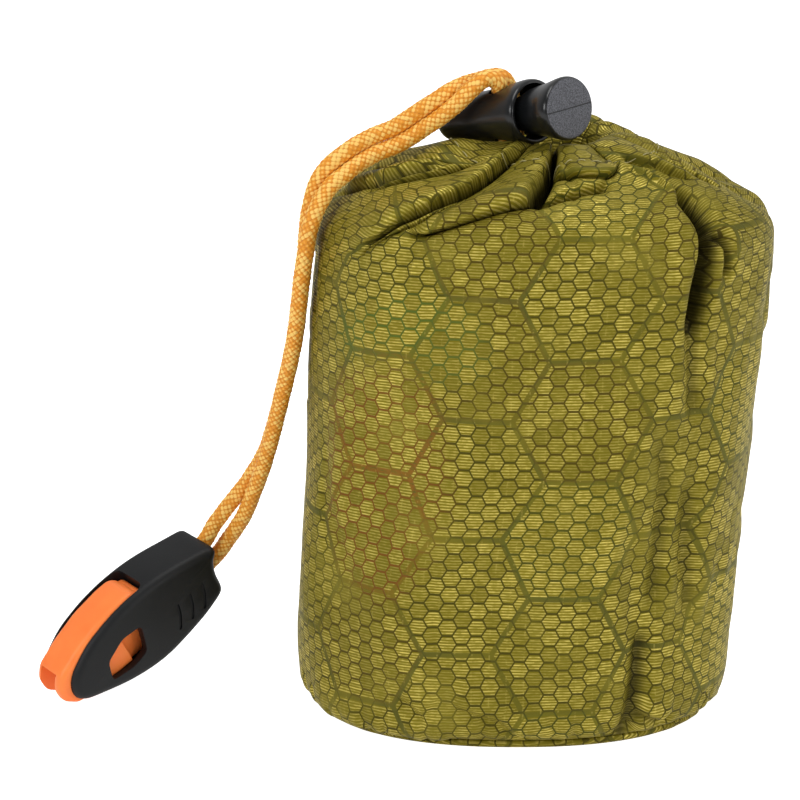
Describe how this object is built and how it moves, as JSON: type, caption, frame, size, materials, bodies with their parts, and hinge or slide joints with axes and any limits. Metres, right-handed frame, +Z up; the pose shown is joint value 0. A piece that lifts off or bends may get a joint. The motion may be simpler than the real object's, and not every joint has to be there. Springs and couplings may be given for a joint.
{
  "type": "emergency sleeping bag in its drawstring stuff sack",
  "caption": "Emergency sleeping bag packed upright in a filled ripstop stuff sack, drawn shut by a doubled cord with a barrel cord lock and a whistle on its end.",
  "frame": {"origin": "on the floor under the middle of the box around the sack and its cord lock", "axes": "+Z up out of the drawn-in mouth, -Y the broad front, +X the side that the sack leans to; the cord and whistle hang at -X"},
  "size_m": [0.1468, 0.0744, 0.1282],
  "materials": {
    "ripstop": "coated hexagon ripstop with a soft sheen",
    "cord": "braided cord, slightly glossy",
    "black_plastic": "moulded, satin",
    "orange_plastic": "moulded, satin"
  },
  "bodies": {
    "sack": {"sack": "ripstop", "bottom_panel": "ripstop", "drawcord_upper": "cord", "drawcord_lower": "cord", "lock_barrel": "black_plastic", "whistle_shell": "black_plastic", "whistle_insert": "orange_plastic"},
    "button": {"lock_button": "black_plastic"}
  },
  "joints": [
    {"name": "button_press", "type": "slide", "parent": "sack", "child": "button", "axis": [-0.8252, 0.5429, -0.1556], "range_m": [0, 0.0035], "stiffness_N_per_m": 300, "springref_m": -0.006}
  ]
}
